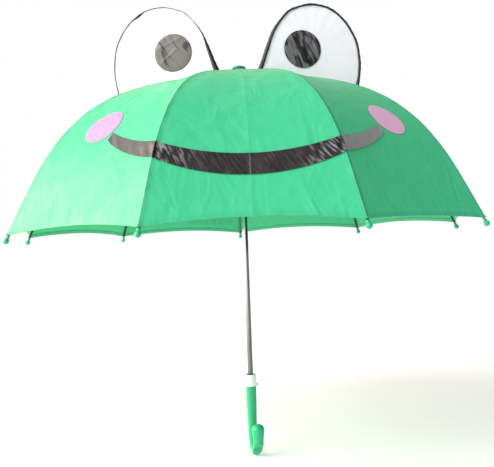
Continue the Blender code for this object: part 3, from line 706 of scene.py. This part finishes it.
def gathers(near_low, near_high, count):
    """The lift of a mouth piece over the gore, with folds that fade out away from its gathered ends."""
    def lift(i, j):
        t = j / (MOUTH_COLUMNS - 1)
        ends = (math.exp(-t / 0.22) if near_low else 0) + (math.exp(-(1 - t) / 0.22) if near_high else 0)
        fold_line = math.sin(2 * math.pi * (count * t + 0.25 * math.sin(5 * t) + 0.05 * i))
        edge = 1 - 0.75 * abs(2 * i / (MOUTH_ROWS - 1) - 1) ** 3
        return 0.0012 + 0.0007 * min(ends, 1.2) * fold_line * edge
    return lift


def add_mouth():
    pieces = (
        ("mouth_front_left", "front", 9, 0.0, 0.5, 9, gathers(True, False, 9)),
        ("mouth_front_right", "front", 9, 0.5, 1.0, 1, gathers(False, True, 9)),
        ("mouth_corner_right", "right", 1, 0.0, 1.0, 1, gathers(True, True, 4)),
        ("mouth_corner_left", "left", 8, 0.0, 1.0, 9, gathers(True, True, 4)),
    )
    for name, side, gore, low, high, rib, lift in pieces:
        obj = patch(name, gore, mouth_places(side, low, high), lift, MOUTH[side], rib)
        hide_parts(f"mouth_{side}")


def add_cheek(side, gore, rib):
    across, share = CHEEK_PLACES[side]
    chord = float(2 * rib_point(share)[0] * math.sin(STEP / 2))
    places, rings = [], 12
    for i in range(rings + 1):
        row = []
        for j in range(72):
            a = 2 * math.pi * j / 72
            reach = CHEEK_RADIUS * i / rings
            row.append((across + reach * math.cos(a) / chord, share + reach * math.sin(a) / RIB_LENGTH))
        places.append(row)
    points = [[cloth_point(gore, a, s, 0.0006 + 0.0004 * (1 - (i / rings) ** 6)) for a, s in row]
              for i, row in enumerate(places)]
    mesh = recalculated(grid_mesh(f"cheek_disc_{side}", points, patch_uvs(places), closed=True))
    obj = add_object(f"cheek_disc_{side}", mesh, CHEEK[side])
    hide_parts(f"cheek_{side}")
    fold(obj, rib)


def add_strap():
    """The closing strap lies along the hem of a back gore."""
    run = [0.05 + 0.43 * j / 50 for j in range(51)]
    places = []
    for i in range(6):
        places.append([(across, hem_share(STRAP_GORE, across) - 0.075 + 0.045 * i / 5) for across in run])
    obj = patch("closing_strap", STRAP_GORE, places, lambda i, j: 0.0012 + 0.0003 * math.sin(j * 0.35 + i),
                HEM, STRAP_GORE)
    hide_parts("tie_strap")


# ---- eyes ----

def eye_place(side, x, y, z):
    """A point of an eye: x out from the shaft, y towards its front face, z up."""
    a = azimuth(EYE_RIBS[side])
    front = -1 if side == "right" else 1
    return outward(a) * x + tangent(a) * (front * y) + np.array([0, 0, z])


def eye_base(x):
    """Height of the cloth under the eye at a radius."""
    share = float(np.interp((x - HINGE_RADIUS) / RIB_LENGTH, OUT, SHARES))
    return float(rib_point(share, CLOTH_LIFT + 0.0008)[1]) + crown_lift(x)


def smooth_through(points, steps):
    """A smooth curve through points, with that many steps between two of them."""
    line = [Vector(p) for p in points]
    line = [line[0] * 2 - line[1], *line, line[-1] * 2 - line[-2]]
    curve = []
    for a, b, c, d in zip(line, line[1:], line[2:], line[3:]):
        for i in range(steps):
            t = i / steps
            bend = (2 * a - 5 * b + 4 * c - d) * t**2 + (3 * b - a - 3 * c + d) * t**3
            curve.append((2 * b + (c - a) * t + bend) / 2)
    return np.array([tuple(p) for p in [*curve, line[-2]]])


def eye_border(side, t):
    """How far the black strip shows round the white, from the inner foot (0) to the outer (1)."""
    if side == "right":
        return 0.0030 + 0.0022 * math.exp(-t / 0.10) + 0.0030 * math.exp(-(1 - t) / 0.15)
    return 0.0009 + 0.0075 * max(0.0, 1 - t / 0.17) + 0.0028 * math.exp(-(((t - 0.545) / 0.025) ** 2))


def eye_edge(side, inset, count=110):
    """The eye's edge from foot to foot, and the length along it. Inset 1 is the black strip's inner edge."""
    curve = smooth_through(EYE_EDGE, 12)
    curve[:, 1] += RIM_Z
    inset = np.array([[eye_border(side, i / (len(curve) - 1)) - 0.0006] for i in range(len(curve))]) * inset
    ahead = np.gradient(curve, axis=0)
    ahead /= np.linalg.norm(ahead, axis=1)[:, None]
    curve = curve + np.stack([ahead[:, 1], -ahead[:, 0]], 1) * inset
    first, last = curve[0][0] - 0.002, curve[-1][0]
    points = np.array([(first, eye_base(first)), *curve, (last, eye_base(last))])
    gone = np.concatenate([[0], np.cumsum(np.linalg.norm(np.diff(points, axis=0), axis=1))])
    at = np.linspace(0, gone[-1], count)
    return np.stack([np.interp(at, gone, points[:, 0]), np.interp(at, gone, points[:, 1])], 1), at


def add_eye_face(side, front):
    """White cloth stretched over the fin, a little crowned, with soft drag lines from its stitched edge."""
    edge, _ = eye_edge(side, 1.0)
    base = [(x, eye_base(x)) for x in np.linspace(edge[-1][0], edge[0][0], 30)[1:-1]]
    outline = np.array([*edge, *base])
    centre = np.array(EYE_CENTRE)
    points, uvs = [], []
    for i in range(19):
        f = i / 18
        row, uv_row = [], []
        for j, p in enumerate(outline):
            x, z = centre + (p - centre) * f
            crown = 0.0020 * (1 - f**3)
            drag = 0.00035 * f * f * math.sin(j * 0.71) * math.sin(j * 0.23 + 1)
            y = EYE_HALF - (0.0024 if side == "right" else 0.0017) + crown + drag
            row.append(eye_place(side, x, y if front else -y, z))
            uv_row.append((float(x), float(z)))
        points.append(row)
        uvs.append(uv_row)
    label = "front" if front else "back"
    mesh = recalculated(grid_mesh(f"eye_{side}_{label}_cloth", points, uvs, closed=True))
    obj = add_object(f"eye_{side}_{label}_cloth", mesh, EYE_WHITE)
    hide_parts(f"eye_{side}_face" if front else f"eye_{side}_back")
    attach(obj, f"rib_arm_{EYE_RIBS[side]}")


def strip_section(lip):
    """(distance out from the edge, distance from the middle plane) across the black strip."""
    h = EYE_HALF
    half = [(lip, h - 0.0012), (lip * 0.65, h - 0.0002), (lip * 0.25, h - 0.0001), (0.0, h - 0.0012),
            (0.0006, h * 0.45)]
    inside = [(lip, -h + 0.0026), (-0.0009, 0), (lip, h - 0.0026)]
    return [*half, (0.0007, 0), *[(n, -y) for n, y in half[::-1]], *inside]


def add_eye_gusset(side):
    """The black strip between the two faces, rolled over both edges and gathered round the curve."""
    edge, at = eye_edge(side, 0.0, 150)
    middle = np.array(EYE_CENTRE)
    points, uvs = [], []
    for i, p in enumerate(edge):
        section = strip_section(-eye_border(side, at[i] / at[-1]))
        ahead = edge[min(i + 1, len(edge) - 1)] - edge[max(i - 1, 0)]
        normal = np.array([-ahead[1], ahead[0]])
        normal = normal / np.linalg.norm(normal)
        if normal @ (p - middle) < 0:
            normal = -normal
        gather = 0.00022 * math.sin(at[i] * 620) + 0.0002 * math.sin(at[i] * 173)
        row = []
        for k, (n, y) in enumerate(section):
            q = p + normal * (n + (gather if 2 < k < 8 else 0.0))
            row.append(eye_place(side, q[0], y, q[1]))
        points.append(row)
        uvs.append([(float(at[i]), 0.004 * k) for k in range(len(section))])
    mesh = recalculated(grid_mesh(f"eye_{side}_gusset", points, uvs, closed=True))
    obj = add_object(f"eye_{side}_gusset", mesh, EYE_BLACK)
    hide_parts(f"eye_{side}_band")
    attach(obj, f"rib_arm_{EYE_RIBS[side]}")


CREASES = {  # from (x, z) to (x, z) on each pupil, as shares of its radius
    "left": ((-0.4, 0.75, 1.0, 0.15), (-0.1, 0.1, 0.95, -0.75), (-0.8, -0.3, 0.1, 0.2),
             (0.3, 0.95, 0.95, 0.6)),
    "right": ((-0.3, 0.9, 0.25, -0.9), (0.1, 0.9, 0.6, -0.7), (-0.9, -0.2, 0.3, -0.8), (0.6, 0.7, 0.8, -0.3),
              (-0.7, 0.5, -0.1, -0.4)),
}


def crease_relief(side, u, v):
    """How far the creases lift the pupil's cloth at a place on it."""
    total = 0.0
    for k, (x0, z0, x1, z1) in enumerate(CREASES[side]):
        along = np.array([x1 - x0, z1 - z0])
        length = np.linalg.norm(along)
        along = along / length
        d = np.array([u - x0, v - z0])
        t, off = d @ along, d @ np.array([-along[1], along[0]])
        fade = math.exp(-((max(0, -t, t - length)) / 0.15) ** 2)
        total += (0.0008 if k % 2 else 0.0006) * fade * math.exp(-abs(off) / 0.07)
    return total


def add_pupil(side):
    """A disc of creased black satin sewn on the white cloth."""
    points, uvs, rings = [], [], 24
    for i in range(rings + 1):
        f = i / rings
        row, uv_row = [], []
        for j in range(96):
            a = 2 * math.pi * j / 96
            u, v = f * math.cos(a), f * math.sin(a)
            x, z = PUPIL_CENTRE[0] + PUPIL_RADIUS * u, PUPIL_CENTRE[1] + PUPIL_RADIUS * v
            edge = 1 - f**8
            y = EYE_HALF + 0.0004 + edge * (0.0009 + crease_relief(side, u, v))
            row.append(eye_place(side, x, y, z))
            uv_row.append((float(x), float(z)))
        points.append(row)
        uvs.append(uv_row)
    mesh = recalculated(grid_mesh(f"pupil_{side}", points, uvs, closed=True))
    obj = add_object(f"pupil_{side}", mesh, PUPIL[side])
    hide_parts(f"eye_{side}_pupil")
    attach(obj, f"rib_arm_{EYE_RIBS[side]}")


# ---- tips, ties, handle, cup and cap ----

def add_tip(rib):
    """The ball tip with its neck and a moulding line."""
    start = -0.0115 * RIB_LENGTH
    neck = [(0.0, start), (0.0025, start), (0.0027, start + 0.0013), (0.0020, start + 0.0025)]
    profile = rounded(neck, 0.0004)
    for i in range(15):
        t = math.radians(-50 + 140 * i / 14)
        profile.append((BALL_RADIUS * math.cos(t) + 0.00001, BALL_CENTRE + BALL_RADIUS * math.sin(t)))
    mesh = lathe(f"tip_ball_{rib}", profile, 28)
    a = azimuth(rib)
    turn = Matrix.Rotation(a - math.pi / 2, 4, "Z") @ Matrix.Rotation(math.pi / 2 + SLOPE_AT_TIP, 4, "Y")
    mesh.transform(Matrix.Translation(outward(a) * TIP_RADIUS + np.array([0, 0, RIM_Z])) @ turn)
    obj = add_object(f"tip_ball_{rib}", mesh, GREEN_PLASTIC)
    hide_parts(f"rib_tip_{rib}")
    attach(obj, f"rib_arm_{rib}")


def thread_loop(a, share, lift, width, height, thread):
    """A loop of thread round a rib. Width and height are measured from its middle."""
    radius, z = rib_point(share, lift)
    centre = outward(a) * radius + np.array([0, 0, z])
    up = normal_to_rib(a, float(slope(share)))
    path = [centre + tangent(a) * width * math.cos(t) + up * height * math.sin(t)
            for t in np.linspace(0, 2 * math.pi, 17)]
    return grid_mesh("loop", tube_rings([Vector(p) for p in path], 6, thread), closed=True)


def add_ties(rib):
    """The threads that hold the cloth to the rib: two at its tip and three along it."""
    a = azimuth(rib)
    loops = [thread_loop(a, share, 0.0010, 0.0023, 0.0027, 0.00028) for share in (0.9825, 0.9845)]
    loops += [thread_loop(a, share, 0.0007, 0.0020, 0.0022, 0.00025) for share in (0.22, RIB_PIVOT, 0.72)]
    ties = add_object(f"rib_ties_{rib}", recalculated(joined(f"rib_ties_{rib}", loops)), THREAD)
    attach(ties, f"rib_arm_{rib}")


def hook_stations():
    """(across, height, direction, thickness) from the grip's top round the hook, finely spaced."""
    rough = [(0, GRIP_TOP, 0.0, 0.0076), (0, GRIP_TOP - 0.0006, 0.0, 0.0082), (0, 0.020, 0.0, 0.0078),
             (0, -0.005, 0.0, 0.0072), (0, -0.022, 0.0, 0.0069)]
    for i in range(25):
        angle = math.pi * i / 24
        swell = math.cos(angle) ** 2 if angle > math.pi / 2 else 0.0
        across, down = HOOK_RADIUS * (1 - math.cos(angle)), HOOK_RADIUS * math.sin(angle)
        rough.append((across, HOOK_Z - down, angle, HOOK_WIRE + 0.0014 * swell))
    limb = ((0.003, 0.0081), (0.006, 0.0084), (0.010, 0.0089), (0.014, 0.0094), (0.0172, 0.0097),
            (0.0196, 0.0096), (0.0218, 0.0088), (0.0236, 0.0074), (0.0250, 0.0056), (0.0259, 0.0036),
            (0.0263, 0.0014))
    for rise, radius in limb:
        rough.append((2 * HOOK_RADIUS, HOOK_Z + rise, math.pi, radius))
    values = np.array(rough)
    gone = np.concatenate([[0], np.cumsum(np.hypot(np.diff(values[:, 0]), np.diff(values[:, 1])))])
    at = np.unique(np.concatenate([np.linspace(0, gone[-1], 150), gone]))
    return np.stack([np.interp(at, gone, values[:, k]) for k in range(4)], 1)


def add_handle():
    """The J handle with its parting line, and the shoulder under the cup."""
    sides = 48
    turns = [2 * math.pi * j / sides for j in range(sides)]
    rings = [[np.array([TUBE_HOLE * math.cos(t), TUBE_HOLE * math.sin(t), GRIP_TOP]) for t in turns]]
    for across, height, angle, radius in hook_stations():
        side = np.array([math.cos(angle), 0, -math.sin(angle)])
        ring = []
        for j, t in enumerate(turns):
            reach = radius + (0.00004 if j % (sides // 2) == 0 else 0.0)
            centre = np.array([across, reach * math.sin(t), height])
            ring.append(centre + side * reach * math.cos(t))
        rings.append(ring)
    rings.append([np.array([2 * HOOK_RADIUS, 0, -0.0056])] * sides)
    mesh = recalculated(grid_mesh("j_handle", rings, closed=True))
    mesh.transform(Matrix.Rotation(HOOK_TURN, 4, "Z"))
    obj = add_object("j_handle", mesh, GREEN_PLASTIC)
    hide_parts("handle")
    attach(obj, "shaft")

    top = GRIP_TOP + 0.0002
    ring = [(TUBE_HOLE, top), (0.0079, top), (0.0084, top - 0.0006), (0.0084, top - 0.0022),
            (0.0078, top - 0.0027)]
    band = add_object("grip_shoulder", lathe("grip_shoulder", rounded(ring, 0.0003)), GREEN_PLASTIC)
    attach(band, "shaft")


def add_cup():
    """The white cup that takes the closed tips, with the small lug on its side."""
    low, high, floor, radius = CUP_LOW.z, CUP_HIGH.z, CUP_HIGH.z - CUP_DEPTH, CUP_RADIUS
    outline = [(TUBE_HOLE, low), (radius - 0.0004, low), (radius, low + 0.0012),
               (radius - 0.0002, high - 0.0008), (radius - 0.0004, high), (radius - 0.0013, high),
               (radius - 0.0017, floor), (TUBE_HOLE, floor)]
    cup = lathe("collar_cup", rounded(outline, 0.0005), 64)
    lug = bmesh.new()
    bmesh.ops.create_cube(lug, size=1)
    bmesh.ops.scale(lug, verts=lug.verts, vec=(0.0058, 0.0040, 0.0036))
    bmesh.ops.bevel(lug, geom=lug.edges[:], offset=0.0011, segments=4, affect="EDGES", profile=0.6)
    bmesh.ops.translate(lug, verts=lug.verts, vec=(0.0095, 0, low + 0.0018))
    part = bpy.data.meshes.new("lug")
    lug.to_mesh(part)
    lug.free()
    obj = add_object("collar_cup", joined("collar_cup", [cup, part]), WHITE_PLASTIC)
    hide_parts("tip_cup")
    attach(obj, "shaft")


def add_cap():
    base, top = CAP_LOW.z, CAP_HIGH.z
    outline = [(0.0044, base), (0.0104, base), (0.0110, base + 0.0008), (0.0109, base + 0.0016),
               (0.0100, base + 0.0030), (0.0079, base + 0.0043), (0.0060, top), (0.0001, top)]
    obj = add_object("crown_cap", lathe("crown_cap", rounded(outline, 0.0007), 64), DARK_GREEN_PLASTIC)
    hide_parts("top_cap")
    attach(obj, "shaft")


def finish_cad_nodes():
    """The metal and moulded pieces that keep their CAD shape get their materials."""
    for name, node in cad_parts.items():
        if node.hide_render:
            continue
        if name == "shaft_tube":
            material = SHAFT_STEEL
        elif name in ("crown_notch", "runner"):
            material = BLACK_PLASTIC
        else:
            material = FRAME_STEEL
        node.data.materials.clear()
        node.data.materials.append(material)
        for polygon in node.data.polygons:
            polygon.material_index = 0


# ---- floor, light and camera ----

def add_floor():
    corners = [(x * FLOOR_REACH, y * FLOOR_REACH, FLOOR_Z) for x, y in ((-1, -1), (1, -1), (1, 1), (-1, 1))]
    mesh = bpy.data.meshes.new("floor")
    mesh.from_pydata(corners, [], [(0, 1, 2, 3)])
    look = Look("floor_paper", (0.66, 0.66, 0.66), 0.9)
    look.set("Emission Color", (1, 1, 1, 1))
    look.set("Emission Strength", 0.40)
    add_object("floor", mesh, look.material, smooth=False)


def add_world():
    """A bright studio wall on the left and a dimmer one on the right, behind a plain white backdrop."""
    world = bpy.data.worlds.new("studio")
    world.use_nodes = True
    bpy.context.scene.world = world
    tree = world.node_tree
    background = tree.nodes["Background"]
    background.inputs["Color"].default_value = (1, 1, 1, 1)
    split = tree.nodes.new("ShaderNodeSeparateXYZ")
    tree.links.new(tree.nodes.new("ShaderNodeTexCoord").outputs["Generated"], split.inputs[0])

    def wall(low, high, left, right):
        node = tree.nodes.new("ShaderNodeMapRange")
        for socket, number in zip(("From Min", "From Max", "To Min", "To Max"), (low, high, left, right)):
            node.inputs[socket].default_value = number
        tree.links.new(split.outputs[0], node.inputs["Value"])
        return node.outputs[0]

    path = tree.nodes.new("ShaderNodeLightPath")
    walls = tree.nodes.new("ShaderNodeMapRange")
    tree.links.new(wall(-0.9, 0.9, 0.78, 0.34), walls.inputs["To Min"])
    tree.links.new(wall(-0.45, 0.55, 1.15, 0.06), walls.inputs["To Max"])
    tree.links.new(path.outputs["Is Glossy Ray"], walls.inputs["Value"])
    strength = tree.nodes.new("ShaderNodeMapRange")
    tree.links.new(walls.outputs[0], strength.inputs["To Min"])
    strength.inputs["To Max"].default_value = 1.0
    tree.links.new(path.outputs["Is Camera Ray"], strength.inputs["Value"])
    tree.links.new(strength.outputs[0], background.inputs["Strength"])


def add_lamp(kind, name, power, aim, place=(0, 0, 0)):
    light = bpy.data.lights.new(name, kind)
    light.energy = power
    lamp = bpy.data.objects.new(name, light)
    lamp.location = place
    lamp.rotation_euler = Vector(aim).to_track_quat("-Z", "Y").to_euler()
    bpy.context.scene.collection.objects.link(lamp)
    return light


def add_light():
    add_world()
    add_lamp("SUN", "key", 2.3, (1.0, 0.75, -0.95)).angle = math.radians(30)
    boxes = (
        ("left_softbox", 14, (1.0, 0.97, 0.88), (-1.5, -0.5, 0.9)),
        ("back_softbox", 30, (1.0, 0.76, 0.38), (-1.6, 0.30, 0.62)),
    )
    for name, power, colour, place in boxes:
        soft = add_lamp("AREA", name, power, Vector((-0.1, 0, 0.4)) - Vector(place), place)
        soft.color = colour
        soft.size = 1.2


def add_camera():
    """Level with the rim, 1.08 m away, turned by the small roll and pitch of the view."""
    turn, distance = math.radians(1.63), 1.0765
    pan, pitch, roll = math.radians(0.15), math.radians(0.74), math.radians(2.19)
    view = Matrix.Rotation(pan + turn, 3, "Z")
    view = Matrix.Rotation(-pitch, 3, "X") @ view
    view = Matrix.Rotation(-roll, 3, "Y") @ view
    right, ahead, up = view
    data = bpy.data.cameras.new("camera")
    data.lens, data.sensor_width, data.sensor_fit = 49.57, 36.0, "HORIZONTAL"
    camera = bpy.data.objects.new("camera", data)
    place = outward(-turn) * distance + np.array([0, 0, RIM_Z - 0.0139])
    camera.matrix_world = Matrix.Translation(place) @ Matrix((right, up, -ahead)).transposed().to_4x4()
    bpy.context.scene.collection.objects.link(camera)
    bpy.context.scene.camera = camera
    bpy.context.scene.view_settings.view_transform = "Standard"


def main():
    add_camera()
    add_light()
    add_floor()
    for rib in RIBS:
        add_canopy_strip(rib)
        add_hem(rib)
        add_seam_ridge(rib)
        add_tip(rib)
        add_ties(rib)
    add_rosette()
    add_mouth()
    add_cheek("right", 1, 2)
    add_cheek("left", 8, 8)
    add_strap()
    for side in EYE_RIBS:
        add_eye_gusset(side)
        add_eye_face(side, True)
        add_eye_face(side, False)
        add_pupil(side)
    add_handle()
    add_cup()
    add_cap()
    finish_cad_nodes()


main()
